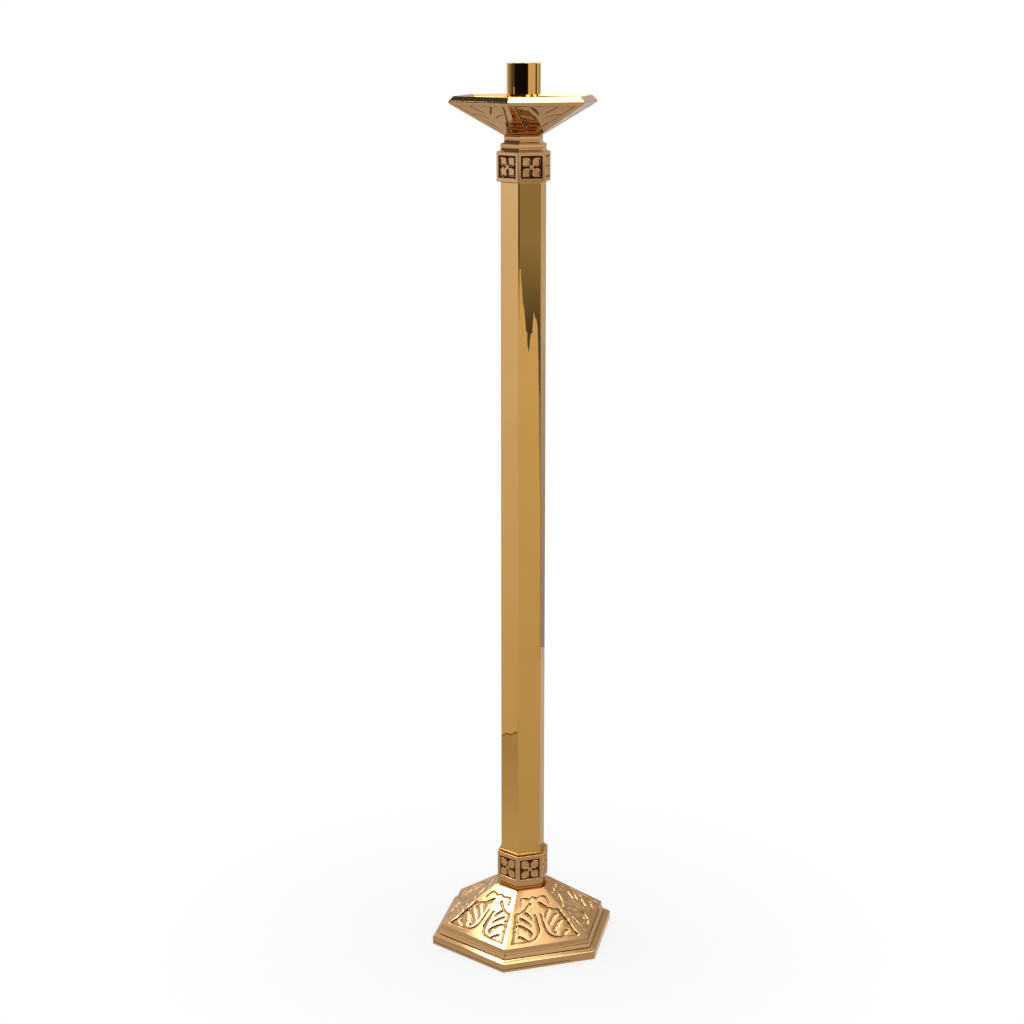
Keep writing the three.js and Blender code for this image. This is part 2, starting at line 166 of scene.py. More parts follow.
# Carved strokes on the right half of a face, mirrored on the left.
# Each point is (share of the face's wider half width, share of its slope, groove width in mm).
LEAF_SIDE = [(0.49, 0.585, 2.6), (0.56, 0.45, 2.4), (0.63, 0.33, 1.9), (0.70, 0.2, 1.9), (0.77, 0.085, 1.8)]
LEAF_FOOT = [(0.78, 0.08, 1.5), (0.6, 0.078, 1.5), (0.43, 0.08, 1.7), (0.33, 0.088, 2),
             (0.24, 0.103, 2.1), (0.16, 0.142, 2.2), (0.1, 0.2, 2.3), (0.075, 0.28, 2.3),
             (0.067, 0.38, 2.2), (0.067, 0.53, 1.9)]
LEAF_TOP = [(0.49, 0.582, 2.2), (0.43, 0.588, 2.2), (0.37, 0.602, 2.4), (0.3, 0.622, 2.6),
            (0.24, 0.65, 3), (0.17, 0.695, 3.6), (0.115, 0.732, 3.8)]
LEAF_VEINS = [
    [(0.314, 0.61, 2.6), (0.27, 0.58, 2.4), (0.225, 0.538, 2), (0.19, 0.5, 1.4), (0.166, 0.462, 0.8)],
    [(0.437, 0.5, 2.6), (0.385, 0.475, 2.4), (0.32, 0.43, 2), (0.265, 0.385, 1.4), (0.22, 0.345, 0.8)],
    [(0.575, 0.385, 1.6), (0.5, 0.372, 2.2), (0.42, 0.335, 2.3), (0.345, 0.285, 2.3), (0.288, 0.232, 2.2),
     (0.272, 0.192, 1.9), (0.3, 0.168, 1.5), (0.318, 0.19, 1.1)],
    [(0.405, 0.32, 1.6), (0.378, 0.272, 1.2)],
]
LEAF_TIP = [(0.59, 0.182, 2.6), (0.545, 0.168, 2.2), (0.49, 0.135, 2), (0.43, 0.095, 1.5)]
LEAF_NOTCHES = [
    [(0.555, 0.455, 3.2), (0.52, 0.432, 1.2)],
    [(0.62, 0.36, 2.6), (0.585, 0.352, 1.2)],
    [(0.66, 0.275, 2.6), (0.625, 0.272, 1)],
]
BRACKET = [(0.343, 0.725, 2.2), (0.315, 0.79, 2.4), (0.29, 0.832, 2.4), (0.26, 0.848, 2.2),
           (0.215, 0.848, 1.8), (0.165, 0.838, 1.7), (0.115, 0.828, 2), (0.06, 0.834, 2),
           (0.02, 0.85, 1.4), (0, 0.862, 1.2)]
BASE_STROKES = [LEAF_SIDE, LEAF_FOOT, LEAF_TOP, *LEAF_VEINS, LEAF_TIP, *LEAF_NOTCHES, BRACKET]
BASE_LOBE = LEAF_SIDE + LEAF_FOOT[1:] + LEAF_TOP[::-1]
BASE_CARVING_DEPTH = 1.4
BASE_CROWN = 0.08
# Carved panel of the base's face: share of the width, and its lower and upper end as shares of the slope
BASE_PANEL = (0.86, 0.05, 0.88)

PAN_SIDE = [(0.81, 0.965, 1.7), (0.475, 0.57, 1.6), (0.14, 0.17, 1.4)]
PAN_SCALLOP = [(0.82, 0.968, 1.6), (0.76, 0.95, 1.6), (0.7, 0.946, 1.7), (0.64, 0.955, 1.6),
               (0.58, 0.968, 1.6), (0.49, 0.95, 1.7), (0.4, 0.945, 1.8), (0.3, 0.955, 1.6),
               (0.2, 0.97, 1.5), (0.1, 0.953, 1.7), (0, 0.945, 1.8)]
PAN_VEINS = [
    [(0.37, 0.95, 1.6), (0.32, 0.91, 2.2), (0.27, 0.865, 2.5), (0.2, 0.81, 2.4),
     (0.135, 0.76, 1.8), (0.075, 0.7, 0.8)],
    [(0.57, 0.692, 1.6), (0.48, 0.69, 2), (0.39, 0.68, 2.3), (0.31, 0.66, 2.2),
     (0.22, 0.625, 1.8), (0.137, 0.57, 0.8)],
    [(0.3, 0.44, 1.4), (0.25, 0.36, 1.9), (0.2, 0.31, 1.5), (0.16, 0.27, 0.8)],
]
PAN_STROKES = [PAN_SIDE, PAN_SCALLOP, *PAN_VEINS]
PAN_LOBE = PAN_SIDE + [(0, 0.17, 1.4), (0, 0.945, 1.8)] + PAN_SCALLOP[::-1]
PAN_CARVING_DEPTH = 1.3
PAN_CROWN = 0.3
PAN_PANEL = (0.86, 0.1, 0.98)

# Colours are linear red, green and blue. The two kinds of brass each have a light and a deep tone.
CAST_BRASS = (0.53, 0.300, 0.125), (0.48, 0.255, 0.100)
DRAWN_BRASS = (0.60, 0.330, 0.078), (0.54, 0.285, 0.060)
BRASS_EDGE_TINT = (0.95, 0.80, 0.60)
PATINA = (0.050, 0.010, 0.002)
STEEL = (0.48, 0.49, 0.50)
IRON = (0.035, 0.033, 0.03)
FELT = (0.028, 0.068, 0.036)
FIBRE = (0.16, 0.065, 0.032)

# Camera: place in metres, aim in degrees and lens in millimetres, from the photograph's perspective
CAMERA_PLACE = (0.4701, -2.3308, 1.1461)
CAMERA_TURN = -11.74
CAMERA_TILT = 12.78
FOCAL_LENGTH = 68.61
SENSOR_WIDTH = 36
CAMERA_SHIFT = -0.03
FARTHEST_SEEN = 200


def node_size(name):
    """Height of the foot, height of the top and width across the flats of a CAD node, in millimetres."""
    low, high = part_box(name)
    return low.z / MM, high.z / MM, (high.x - low.x) / MM


def smooth_step(low, high, value):
    """0 below low, 1 above high and a smooth ramp between."""
    t = np.clip((value - low) / (high - low), 0, 1)
    return t * t * (3 - 2 * t)


# Profiles of hexagonal pieces: distance from the axis to the flats, and height

def arc(centre, radii, from_degrees, to_degrees, steps):
    """Points of an elliptical arc in a profile."""
    angles = np.radians(np.linspace(from_degrees, to_degrees, steps + 1))
    return [(centre[0] + radii[0] * math.cos(a), centre[1] + radii[1] * math.sin(a)) for a in angles]


def drawn_curve(start, middle, end, steps):
    """Points of a quadratic curve from start to end, drawn towards a middle point."""
    return [(1 - t) ** 2 * start + 2 * t * (1 - t) * middle + t ** 2 * end
            for t in np.linspace(0, 1, steps + 1)]


def bowed(start, end, bulge, steps):
    """Points of a shallow curve that bulges outward, or inward where the bulge is negative."""
    start, end = np.array(start, float), np.array(end, float)
    along = (end - start) / np.linalg.norm(end - start)
    middle = (start + end) / 2 + 2 * bulge * np.array([along[1], -along[0]])
    return [tuple(p) for p in drawn_curve(start, middle, end, steps)]


def softened(points, radius, closed=True):
    """A profile with its sharp corners eased by small curves. Fine arcs and an open one's ends stay."""
    points = [np.array(p, float) for p in points]
    made = []
    for i, corner in enumerate(points):
        if not closed and i in (0, len(points) - 1):
            made.append(corner)
            continue
        before = points[i - 1] - corner
        after = points[(i + 1) % len(points)] - corner
        reach = min(radius, SOFT_SHARE * np.linalg.norm(before), SOFT_SHARE * np.linalg.norm(after))
        start = corner + before / np.linalg.norm(before) * reach
        end = corner + after / np.linalg.norm(after) * reach
        straight = np.linalg.norm((start + end) / 2 - corner) < SOFT_DEPTH * reach
        made += [corner] if straight else drawn_curve(start, corner, end, SOFT_STEPS)
    return [tuple(p) for p in made]


# Carving: strokes as polylines, and the depth that they cut at points of a face

def smoothed_line(points):
    """Catmull-Rom curve through a stroke's points, which carries their widths along."""
    p = np.array(points, float)
    if len(p) < 3:
        return p
    ends = np.vstack([2 * p[0] - p[1], p, 2 * p[-1] - p[-2]])
    made = []
    for i in range(1, len(ends) - 2):
        a, b, c, d = ends[i - 1:i + 3]
        for t in np.arange(STROKE_STEPS) / STROKE_STEPS:
            made.append(0.5 * (2 * b + (c - a) * t + (2 * a - 5 * b + 4 * c - d) * t ** 2
                               + (3 * b - a - 3 * c + d) * t ** 3))
    return np.array(made + [p[-1]])


def to_face(points, half_width, slope):
    """Stroke points in shares of a face as points in millimetres."""
    return [(x * half_width, y * slope, *rest) for x, y, *rest in points]


def distance_to(x, y, start, end):
    """Distance of points from a straight stretch, and the share along it of each nearest place."""
    along = end - start
    t = ((x - start[0]) * along[0] + (y - start[1]) * along[1]) / max(along @ along, TINY)
    t = np.clip(t, 0, 1)
    return np.hypot(x - start[0] - t * along[0], y - start[1] - t * along[1]), t


def strokes_at(x, y, strokes):
    """Share of full depth that the strokes cut at points, and their distance from the nearest stroke."""
    depth = np.zeros_like(x)
    clear = np.full_like(x, FAR_AWAY)
    for stroke in strokes:
        for start, end in zip(stroke, stroke[1:]):
            distance, t = distance_to(x, y, start[:2], end[:2])
            half = (start[2] + (end[2] - start[2]) * t) / 2
            section = 1 - smooth_step(STROKE_FLOOR, STROKE_RIM, distance / half)
            depth = np.maximum(depth, section * np.minimum(1, half / FULL_STROKE))
            clear = np.minimum(clear, distance - half)
    return depth, np.maximum(clear, 0)


def inside_by(x, y, outline):
    """Distance of points inside a closed outline, negative outside it."""
    nearest = np.full_like(x, FAR_AWAY)
    inside = np.zeros(x.shape, bool)
    for start, end in zip(outline, np.roll(outline, -1, axis=0)):
        nearest = np.minimum(nearest, distance_to(x, y, start, end)[0])
        crosses = (start[1] > y) != (end[1] > y)
        rise = end[1] - start[1] if end[1] != start[1] else TINY
        inside ^= crosses & (x < start[0] + (y - start[1]) * (end[0] - start[0]) / rise)
    return np.where(inside, nearest, -nearest)


def carved_face(strokes, lobe, half_width, slope, depth, crown):
    """Depth of the carving at points of a face: grooves, and a crown on the leaf between them."""
    lines = [smoothed_line(to_face(stroke, half_width, slope)) for stroke in strokes]
    outline = np.array(to_face(lobe, half_width, slope))[:, :2]

    def cut(x, y):
        share, clear = strokes_at(np.abs(x), y, lines)
        on_leaf = smooth_step(-LEAF_EDGE, LEAF_EDGE, inside_by(np.abs(x), y, outline))
        return depth * share + crown * on_leaf * np.exp(-clear / CROWN_RISE) * (1 - share / 2)

    return cut


def petal_distance(x, y):
    """Distance outside a petal, negative inside: a box with two round corners."""
    middle = (PETAL_NEAR + PETAL_FAR) / 2
    half = (PETAL_FAR - PETAL_NEAR) / 2
    dx, dy = x - middle, y - middle
    radius = np.where(dx * dy < 0, PETAL_ROUND, PETAL_TIP)
    qx, qy = np.abs(dx) - half + radius, np.abs(dy) - half + radius
    return np.minimum(np.maximum(qx, qy), 0) + np.hypot(np.maximum(qx, 0), np.maximum(qy, 0)) - radius


def flower_face(panel_middle):
    """Depth of a collar's panel: a sunk ground round four dished petals that join in the middle."""
    def cut(x, height):
        x, y = np.abs(x), np.abs(height - panel_middle)
        within = smooth_step(PANEL_EDGE_LOW, PANEL_EDGE_HIGH, PANEL_HALF - np.maximum(x, y))
        petal = petal_distance(x, y)
        channel_end = np.hypot(np.maximum(x, y) - CHANNEL_END, np.minimum(x, y)) - CHANNEL_END_RADIUS
        leaf = np.minimum(petal, np.maximum(x, y) - FLOWER_MIDDLE)
        leaf = np.maximum(leaf, -channel_end)
        ground = smooth_step(-PETAL_EDGE, PETAL_EDGE, leaf) * within
        dish = smooth_step(PETAL_RIM / 2, PETAL_RIM * 2, -petal) * (1 - ground) * within
        return PANEL_DEPTH * ground + PETAL_DISH * dish

    return cut


# Lofted pieces: rings of six flats and six rounded corners, and the faces between them

class Ring:
    """One level of a hexagonal piece. Its points cover one flat and the corner beside it, and the rest
    are turned copies. The cut is taken at a level up the slope and moves points against the normal."""

    def __init__(self, half, height, edge, steps, shares=(-1, 1), cut=None, level=0, normal=(1, 0)):
        edge = min(edge, ROUNDEST * half)
        reach = (half - edge) * TAN_HALF
        across = reach * np.array(shares, float)
        depth = cut(across, np.full_like(across, level)) if cut else np.zeros_like(across)
        depth[[0, -1]] = 0
        flat = np.stack([half - depth * normal[0], across, height - depth * normal[1]], 1)
        angles = FACE_ANGLE * np.arange(1, steps) / steps
        corner = np.stack([half - edge + edge * np.cos(angles), reach + edge * np.sin(angles),
                           np.full_like(angles, height)], 1)
        self.columns = len(shares) - 1
        self.steps = steps
        self.points = np.vstack([flat, corner])
        self.depth = np.concatenate([depth, np.zeros(len(corner))])

    def all_points(self):
        """Points of all the flats and corners."""
        made = []
        for k in range(SIDES):
            c, s = math.cos(FACE_ANGLE * k), math.sin(FACE_ANGLE * k)
            turn = np.array([[c, s, 0], [-s, c, 0], [0, 0, 1]])
            made.append(self.points @ turn)
        return np.vstack(made)


def strip(lower, upper):
    """Polygons between two rings, on the flat and round the corner, as lists of (ring 0 or 1, index)."""
    a, b = lower.columns, upper.columns
    if a == b:
        flat = [[(0, i), (0, i + 1), (1, i + 1), (1, i)] for i in range(a)]
    else:
        flat = [[(0, i) for i in range(a + 1)] + [(1, i) for i in range(b, -1, -1)]]
    corner = []
    for j in range(lower.steps):
        corner.append([(0, a + j), (0, a + j + 1), (1, b + j + 1), (1, b + j)])
    return flat, corner


def graded(start, low, high, end, spacing):
    """Positions from start to end, close together between low and high and few outside them."""
    fine = np.linspace(low, high, round((high - low) / spacing) + 1)
    before = np.linspace(start, low, MARGIN_STEPS, endpoint=False)
    after = np.linspace(end, high, MARGIN_STEPS, endpoint=False)[::-1]
    return np.concatenate([before, fine, after])


class Carving:
    """Carving of a profile's stretch. The cut is a function of the place across a face and up its slope.
    The grid is fine in the panel, which covers a share of the width and a range up the slope."""

    def __init__(self, cut, spacing, panel_share, panel_low, panel_high):
        self.cut = cut
        self.spacing = spacing
        self.panel_share = panel_share
        self.panel_low = panel_low
        self.panel_high = panel_high

    def rings(self, start, end, edge, steps):
        """Fine rings between two points of a profile, with the carving cut square to the slope."""
        start, end = np.array(start), np.array(end)
        slope = np.linalg.norm(end - start)
        run, rise = (end - start) / slope
        widest = (max(start[0], end[0]) - edge) * TAN_HALF
        shares = graded(-1, -self.panel_share, self.panel_share, 1, self.spacing / widest)
        levels = graded(0, self.panel_low, self.panel_high, slope, self.spacing)
        made = []
        for level in levels:
            half, height = start + (end - start) * level / slope
            cut = self.cut if 0 < level < slope else None
            made.append(Ring(half, height, edge, steps, shares, cut, level, (rise, -run)))
        return made


def longest_outside(points):
    """Index of the longest stretch of a profile, leaving out those by the bore."""
    def length(i):
        start, end = np.array(points[i][:2]), np.array(points[(i + 1) % len(points)][:2])
        return np.linalg.norm(end - start) if min(start[0], end[0]) > 2 * ROD_BORE_RADIUS else 0

    return max(range(len(points)), key=length)


def lofted(name, points, edge, carving=None, steps=EDGE_STEPS):
    """A closed hexagonal piece from a profile that runs up its outside and down its inside. A point of
    the profile can have its own edge. The carving goes on the longest outer stretch."""
    carved = longest_outside(points) if carving else None
    rings = []
    fine = range(0)
    for i, (half, height, *own_edge) in enumerate(points):
        if carved is not None and i == carved:
            first = len(rings)
            rings += carving.rings(points[i], points[i + 1], edge, steps)
            fine = range(first, len(rings) - 1)
        elif carved is None or i != carved + 1:
            rings.append(Ring(half, height, own_edge[0] if own_edge else edge, steps))
    return loft_object(name, rings, fine)


def loft_object(name, rings, fine):
    """Mesh object of rings joined in a closed loop. Strips that start at the fine rings are smooth,
    and the fine stretch's ends and the sides of all flats are sharp."""
    starts = np.cumsum([0] + [SIDES * len(ring.points) for ring in rings])
    vertices = np.vstack([ring.all_points() for ring in rings])
    depth = np.concatenate([np.tile(ring.depth, SIDES) for ring in rings])
    polygons, smooth, sharp = [], [], []

    def index(ring, k, i):
        block = len(rings[ring].points)
        return int(starts[ring] + (k * block + i) % (SIDES * block))

    for r in range(len(rings)):
        pair = (r, (r + 1) % len(rings))
        lower, upper = rings[pair[0]], rings[pair[1]]
        flat, corner = strip(lower, upper)
        length = math.hypot(*(upper.points[0] - lower.points[0])[[0, 2]])
        curved = r in fine or length < CURVED_STRIP
        for k in range(SIDES):
            for group, is_smooth in ((flat, curved), (corner, True)):
                for polygon in group:
                    polygons.append([index(pair[side], k, i) for side, i in polygon])
                    smooth.append(is_smooth)
            sharp.append([index(pair[0], k, 0), index(pair[1], k, 0)])
            sharp.append([index(pair[0], k, lower.columns), index(pair[1], k, upper.columns)])
    for r in (fine[0], fine[-1] + 1) if fine else ():
        for k in range(SIDES):
            sharp += [[index(r, k, i), index(r, k, i + 1)] for i in range(rings[r].columns)]
    return mesh_object(name, vertices, polygons, smooth, sharp, depth)


def new_object(name, data):
    """Object of the scene."""
    made = bpy.data.objects.new(name, data)
    bpy.context.scene.collection.objects.link(made)
    return made


def mesh_object(name, vertices, polygons, smooth, sharp=(), depth=None):
    """Mesh object from points in millimetres, with smooth and sharp marks.
    The share of the carving's full depth is kept with the points as recess."""
    mesh = bpy.data.meshes.new(name)
    mesh.from_pydata(vertices * MM, [], polygons)
    mesh.polygons.foreach_set("use_smooth", smooth)
    if len(sharp):
        edges = np.zeros(2 * len(mesh.edges), int)
        mesh.edges.foreach_get("vertices", edges)
        count = len(vertices)
        keys = np.sort(edges.reshape(-1, 2), 1) @ [count, 1]
        marked = np.isin(keys, np.sort(np.array(sharp), 1) @ [count, 1])
        mesh.attributes.new("sharp_edge", "BOOLEAN", "EDGE").data.foreach_set("value", marked)
    if depth is not None:
        share = (depth / max(depth.max(), TINY)).astype(np.float32)
        mesh.attributes.new("recess", "FLOAT", "POINT").data.foreach_set("value", share)
    mesh.validate()
    mesh.update()
    return new_object(name, mesh)


def turned(name, profile):
    """A closed smooth solid of revolution from a closed profile of radius and height."""
    angles = 2 * math.pi * np.arange(ROUND_SEGMENTS) / ROUND_SEGMENTS
    rows = [np.stack([r * np.cos(angles), r * np.sin(angles), np.full_like(angles, z)], 1)
            for r, z in profile]
    polygons = []
    for row in range(len(profile)):
        low, high = row * ROUND_SEGMENTS, (row + 1) % len(profile) * ROUND_SEGMENTS
        for i in range(ROUND_SEGMENTS):
            j = (i + 1) % ROUND_SEGMENTS
            polygons.append([low + i, low + j, high + j, high + i])
    return mesh_object(name, np.vstack(rows), polygons, [True] * len(polygons))


def guarded(profile, guard):
    """A closed profile with a point close to each end of its long stretches, which keeps them flat."""
    made = []
    for i, point in enumerate(profile):
        start, end = np.array(point), np.array(profile[(i + 1) % len(profile)])
        made.append(tuple(start))
        length = np.linalg.norm(end - start)
        step = (end - start) * guard / length
        if length > GUARDED_LENGTH * guard:
            made += [tuple(start + step), tuple(end - step)]
    return made


# Pieces

def rod_bore(top, floor):
    """Profile of the round bore for the rod, from the top down."""
    return [(ROD_BORE_RADIUS, top, ROD_BORE_RADIUS), (ROD_BORE_RADIUS, floor, ROD_BORE_RADIUS)]


def quarter_round(corner, radius, from_degrees, steps):
    """Quarter of a circle that rounds a profile's outer corner, given as half width and height."""
    up = 1 if from_degrees < 0 else -1
    centre = (corner[0] - radius, corner[1] + up * radius)
    return arc(centre, (radius, radius), from_degrees, from_degrees + 90, steps)


def block_profile(node, lower_round, upper_round, lower_steps, upper_steps):
    """Profile of a hexagonal block with rounded edges and a rod bore."""
    floor, top, flats = node_size(node)
    half = flats / 2
    return [
        *quarter_round((half, floor), lower_round, -90, lower_steps),
        *quarter_round((half, top), upper_round, 0, upper_steps),
        *rod_bore(top, floor),
    ]


def base_outside(floor, top, plinth):
    """Profile of the base's outside: plinth, ovolo, groove, cove and carved face."""
    ovolo_inner, ovolo_top = plinth - OVOLO_WIDTH, PLINTH_HEIGHT + OVOLO_HEIGHT
    groove_floor = ovolo_top - GROOVE_DEPTH
    cove_foot = (ovolo_inner - GROOVE_WIDTH, ovolo_top + COVE_FILLET)
    return [
        (plinth, floor),
        *bowed((plinth, PLINTH_HEIGHT), (ovolo_inner, ovolo_top), OVOLO_BULGE, OVOLO_STEPS),
        (ovolo_inner - GROOVE_DRAFT, groove_floor),
        (ovolo_inner - GROOVE_WIDTH + GROOVE_DRAFT, groove_floor),
        *bowed(cove_foot, (SKIRT_FLATS / 2, SKIRT_HEIGHT), -COVE_HOLLOW, COVE_STEPS),
        (BASE_TOP_FLATS / 2, top),
    ]


def base_inside(floor, top, plinth, run, rise):
    """Profile of the base's inside: bore, boss, hollow under the faces, ledge for the cover and rim."""
    boss, boss_foot = BOSS_FLATS / 2, node_size("base_weight")[1]
    ledge = node_size("bottom_cover")[1]
    skirt = SKIRT_FLATS / 2
    wall = CAST_WALL * math.hypot(run, rise) / run
    rebate = plinth - RIM_WALL
    hollow = rebate - LEDGE_WIDTH
    shoulder = SKIRT_HEIGHT - wall + (skirt - hollow) * rise / run
    roof = top - TOP_WALL
    roof_half = skirt - (roof + wall - SKIRT_HEIGHT) * run / rise
    return [*rod_bore(top, boss_foot), (boss, boss_foot), (boss, roof), (roof_half, roof),
            (hollow, shoulder), (hollow, ledge), (rebate, ledge), (rebate, floor)]


def base_piece():
    """Cast base with carved faces."""
    floor, top, flats = node_size("base")
    run, rise = (SKIRT_FLATS - BASE_TOP_FLATS) / 2, top - SKIRT_HEIGHT
    outside = softened(base_outside(floor, top, flats / 2), MOULDING_SOFTNESS, closed=False)
    points = outside + base_inside(floor, top, flats / 2, run, rise)
    widest, slope = SKIRT_FLATS / 2 * TAN_HALF, math.hypot(run, rise)
    cut = carved_face(BASE_STROKES, BASE_LOBE, widest, slope, BASE_CARVING_DEPTH, BASE_CROWN)
    share, low, high = BASE_PANEL
    carving = Carving(cut, BASE_SPACING, share, low * slope, high * slope)
    return lofted("base_casting", points, CASTING_EDGE, carving)


def ring_piece(node, upper_round, lower_round=RING_ROUND):
    """Plain hexagonal ring."""
    points = block_profile(node, lower_round, upper_round, LOWER_ROUND_STEPS, ROUND_STEPS)
    return lofted(node + "_polished", points, RING_EDGE)


def neck_ring_piece(node):
    """Neck ring: a band with a rounded upper edge over a hollow foot that flares to the piece below."""
    floor, top, flats = node_size(node)
    half = flats / 2
    hollow = half - NECK_BEVEL
    foot = hollow + NECK_FLARE
    points = [
        (foot, floor),
        (foot, floor + NECK_BEVEL),
        *arc((foot, floor + NECK_FLARE_HEIGHT), (NECK_FLARE, NECK_FLARE_HEIGHT - NECK_BEVEL),
             NECK_FLARE_START, 180, ROUND_STEPS),
        (half, floor + NECK_FLARE_HEIGHT + NECK_BEVEL),
        *quarter_round((half, top), NECK_ROUND, 0, ROUND_STEPS),
        *rod_bore(top, floor),
    ]
    return lofted(node + "_polished", points, RING_EDGE)


def collar_piece(node, panel_middle):
    """Collar block with a flower panel on every face."""
    points = block_profile(node, COLLAR_ROUND, COLLAR_ROUND, COLLAR_ROUND_STEPS, COLLAR_ROUND_STEPS)
    middle = panel_middle - COLLAR_ROUND
    reach = PANEL_HALF + PANEL_MARGIN
    share = reach / ((node_size(node)[2] / 2 - COLLAR_EDGE) * TAN_HALF)
    carving = Carving(flower_face(middle), COLLAR_SPACING, share, middle - reach, middle + reach)
    return lofted(node + "_block", points, COLLAR_EDGE, carving)


def pan_piece():
    """Drip pan: carved sloping underside, thin edge, bevelled rim and a dish with a flat floor."""
    floor, top, flats = node_size("drip_pan")
    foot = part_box("candle_socket")[1].x / MM + PAN_FOOT_MARGIN
    under = PAN_UNDER_FLATS / 2
    outer = flats / 2
    run = under - foot
    slope = math.hypot(run, PAN_UNDER_HEIGHT)
    wall = PAN_WALL * slope / run
    lip = floor + PAN_UNDER_HEIGHT + PAN_LIP_HEIGHT
    rim = outer - PAN_BEVEL_WIDTH
    wall_foot = outer - PAN_RIM_WALL
    dish = floor + PAN_FLOOR
    rest = softened([
        (outer, lip),
        (outer, lip + PAN_EDGE_HEIGHT),
        (rim, top),
        (rim - PAN_RIM_WIDTH, top),
        (rim - PAN_RIM_WIDTH - PAN_INNER_BEVEL_WIDTH, top - PAN_INNER_BEVEL_HEIGHT),
        (wall_foot, floor + wall + (wall_foot - foot) * PAN_UNDER_HEIGHT / run),
        (foot + (PAN_FLOOR - wall) * run / PAN_UNDER_HEIGHT, dish),
    ], PAN_EDGE)
    points = [(foot, floor), (under, floor + PAN_UNDER_HEIGHT), *rest, *rod_bore(dish, floor)]
    cut = carved_face(PAN_STROKES, PAN_LOBE, under * TAN_HALF, slope, PAN_CARVING_DEPTH, PAN_CROWN)
    share, low, high = PAN_PANEL
    carving = Carving(cut, PAN_SPACING, share, low * slope, high * slope)
    return lofted("drip_pan_casting", points, PAN_EDGE, carving)


def shaft_piece():
    """Hexagonal tube with rounded edges, open at both ends."""
    floor, top, flats = node_size("shaft")
    outer = flats / 2
    inner = outer - TUBE_WALL
    inner_edge = TUBE_EDGE - TUBE_WALL
    outside = [(outer, floor + TUBE_END), (outer, floor + TUBE_GUARD),
               (outer, top - TUBE_GUARD), (outer, top - TUBE_END), (outer - TUBE_END, top)]
    inside = [(inner, top, inner_edge), (inner, floor, inner_edge), (outer - TUBE_END, floor)]
    return lofted("shaft_tube", outside + inside, TUBE_EDGE, steps=TUBE_EDGE_STEPS)


def socket_piece():
    """Turned candle socket with a rounded lip."""
    floor, top, width = node_size("candle_socket")
    outer = width / 2
    inner = outer - SOCKET_WALL
    profile = softened([(outer, floor), (outer, top), (inner, top), (inner, floor)], SOCKET_LIP)
    return turned("candle_socket_tube", guarded(profile, SOCKET_LIP))


# Finishes: noise scales are in features per metre, and heights of bumps in metres

NOISE_LOW, NOISE_HIGH = 0.35, 0.65
WIDE_LOW, WIDE_HIGH = 0.3, 0.7
TONE_SCALE = 9
GLOSS_SCALE = 60
WAVE_SCALE = 28
WAVE_HEIGHT = 0.001
LACQUER_ROUGHNESS = 0.03
PATINA_SPREAD = 0.38
PATINA_ROUGHNESS = 0.3
BRUSHED = (0.1, 1, 1)


class NodeTree:
    """The node tree of a material or of the world."""

    def __init__(self, tree):
        self.nodes = tree.nodes
        self.links = tree.links

    def feed(self, node, given):
        """Feeds inputs of a node, by name or number, with numbers, colours or other nodes' sockets."""
        for key, value in given.items():
            if isinstance(value, bpy.types.NodeSocket):
                self.links.new(value, node.inputs[key])
            else:
                node.inputs[key].default_value = (*value, 1) if isinstance(value, tuple) else value

    def ramp(self, value, low, high, from_value, to_value):
        """Maps a value between two limits to a range."""
        node = self.nodes.new("ShaderNodeMapRange")
        self.feed(node, {"Value": value, "From Min": low, "From Max": high,
                         "To Min": from_value, "To Max": to_value})
        return node.outputs["Result"]

    def maths(self, operation, first, second):
        """Result of a mathematical operation on sockets or numbers."""
        node = self.nodes.new("ShaderNodeMath")
        node.operation = operation
        self.feed(node, {0: first, 1: second})
        return node.outputs[0]

    def mix(self, factor, first, second):
        """Mixes two colours, each a tuple or a socket. Sockets 6, 7 and 2 of the node are for colours."""
        node = self.nodes.new("ShaderNodeMix")
        node.data_type = "RGBA"
        self.feed(node, {0: factor, 6: first, 7: second})
        return node.outputs[2]


class Finish(NodeTree):
    """A material with its node tree and the shader that its finish is set on."""

    def __init__(self, name):
        self.material = bpy.data.materials.new(name)
        self.material.use_nodes = True
        super().__init__(self.material.node_tree)
        self.shader = self.nodes["Principled BSDF"]
        self.place = self.nodes.new("ShaderNodeTexCoord").outputs["Object"]

    def set(self, given):
        """Feeds inputs of the shader."""
        self.feed(self.shader, given)

    def noise(self, scale, detail, stretch=(1, 1, 1)):
        """Noise in the piece's own space."""
        spread = self.nodes.new("ShaderNodeMapping")
        spread.inputs["Scale"].default_value = stretch
        self.links.new(self.place, spread.inputs["Vector"])
        texture = self.nodes.new("ShaderNodeTexNoise")
        self.feed(texture, {"Vector": spread.outputs["Vector"], "Scale": scale, "Detail": detail})
        return texture.outputs["Fac"]

    def distance(self):
        """Distance from the origin of the piece's own space."""
        node = self.nodes.new("ShaderNodeVectorMath")
        node.operation = "LENGTH"
        self.links.new(self.place, node.inputs[0])
        return node.outputs["Value"]

    def attribute(self, name):
        """Value kept with the points of a mesh."""
        node = self.nodes.new("ShaderNodeAttribute")
        node.attribute_name = name
        return node.outputs["Fac"]

    def bump(self, height, distance, strength):
        """Disturbs the shader's normal by a height."""
        node = self.nodes.new("ShaderNodeBump")
        self.feed(node, {"Height": height, "Distance": distance, "Strength": strength})
        self.set({"Normal": node.outputs["Normal"]})

    def show(self, shader):
        """Puts another shader in the place of the first."""
        self.feed(self.nodes["Material Output"], {"Surface": shader.outputs[0]})


def shaded(colour, factor):
    """A colour made darker or lighter."""
    return tuple(factor * c for c in colour)


